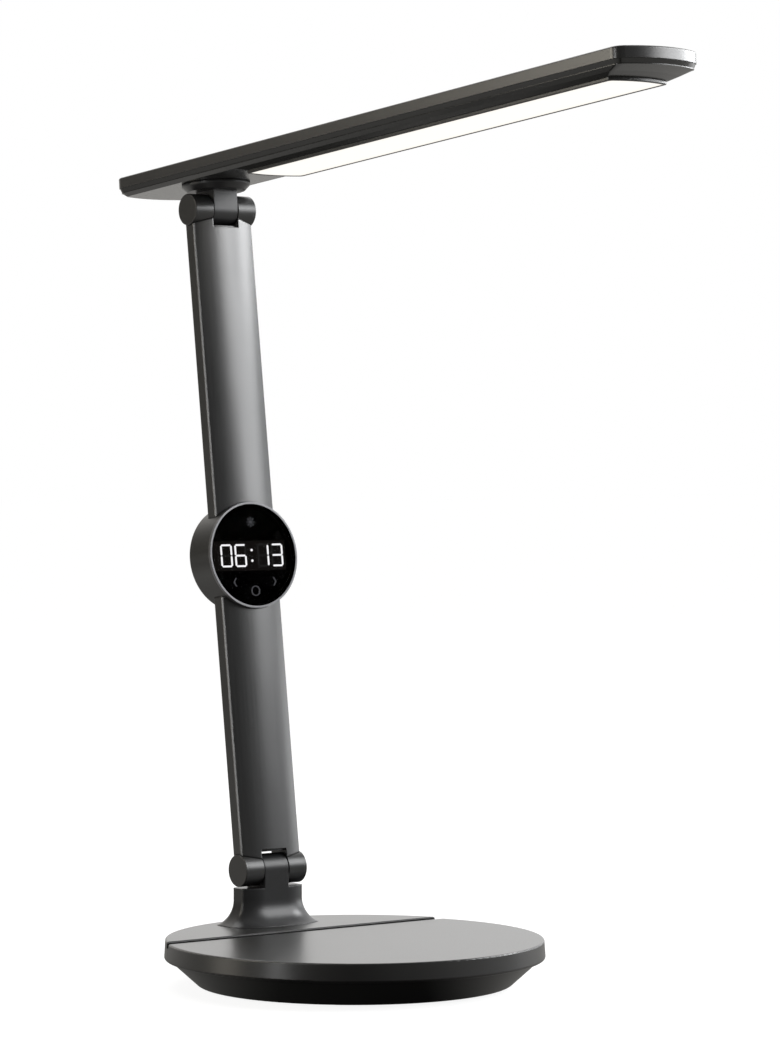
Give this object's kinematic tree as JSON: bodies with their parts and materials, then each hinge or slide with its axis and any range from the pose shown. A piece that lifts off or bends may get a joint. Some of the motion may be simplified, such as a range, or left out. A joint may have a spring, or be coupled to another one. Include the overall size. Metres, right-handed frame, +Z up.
{
  "type": "LED desk lamp",
  "caption": "Black LED desk lamp with a long light-panel head, a tilting arm with a round clock and touch panel, and a weighted round base.",
  "frame": {"origin": "centre of the foot pad's underside, where the lamp stands on the desk", "axes": "+Z up, -Y the way the lamp faces, +X to the right of someone looking at the lamp's front"},
  "size_m": [0.1798, 0.3911, 0.4235],
  "materials": {
    "satin_black": "satin",
    "gloss_black": "gloss",
    "arm_black": "satin anodised",
    "hinge_black": "satin",
    "bezel_grey": "satin anodised",
    "clock_glass": "gloss",
    "display_black": "matte",
    "digit_white": "lit",
    "digit_grey": "gloss",
    "icon_grey": "lit dimly",
    "panel_white": "opal, lit",
    "guide_clear": "gloss",
    "reflector_white": "matte",
    "plate_metal": "mill",
    "steel": "zinc plated",
    "board_green": "satin",
    "chip_yellow": "satin",
    "washer_nylon": "matte",
    "cable_black": "matte",
    "pad_rubber": "matte"
  },
  "bodies": {
    "base": {"base_cover": "satin_black", "base_pan": "satin_black", "foot_pad": "pad_rubber", "ballast_plate": "steel", "base_screws": "steel", "neck_post": "hinge_black", "neck_screws": "steel", "power_jack": "display_black", "driver_board": "board_green", "base_cable": "cable_black"},
    "arm": {"lower_tube": "arm_black", "upper_tube": "arm_black", "lower_yoke": "satin_black", "upper_yoke": "satin_black", "hinge_bolts": "steel", "hinge_nuts": "steel", "spring_washers": "steel", "friction_washers": "washer_nylon", "hinge_caps": "satin_black", "arm_spine": "steel", "arm_cable": "cable_black", "clock_housing": "satin_black", "clock_bezel": "bezel_grey", "clock_lens": "clock_glass", "clock_board": "display_black", "clock_screws": "steel", "clock_display": "display_black", "digits_lit": "digit_white", "digits_unlit": "digit_grey", "touch_icons": "icon_grey"},
    "knuckle": {"head_knuckle": "hinge_black", "knuckle_cable": "cable_black", "swivel_washer": "washer_nylon", "swivel_nut": "steel"},
    "head": {"head_top_shell": "satin_black", "head_lower_shell": "gloss_black", "panel_frame": "satin_black", "diffuser": "panel_white", "light_guide": "guide_clear", "reflector_sheet": "reflector_white", "heat_plate": "plate_metal", "plate_screws": "steel", "led_strips": "board_green", "led_chips": "chip_yellow", "head_cable": "cable_black"}
  },
  "joints": [
    {"name": "arm_tilt", "type": "hinge", "parent": "base", "child": "arm", "pos_m": [0, 0.0699, 0.0487], "axis": [1, 0, 0], "range_deg": [-10, 40]},
    {"name": "head_tilt", "type": "hinge", "parent": "arm", "child": "knuckle", "pos_m": [0, 0.11194, 0.37016], "axis": [-1, 0, 0], "range_deg": [-50, 60]},
    {"name": "head_swivel", "type": "hinge", "parent": "knuckle", "child": "head", "pos_m": [0, 0.11194, 0.37016], "axis": [0, 0.0918, 0.9958], "range_deg": [-90, 90]}
  ]
}
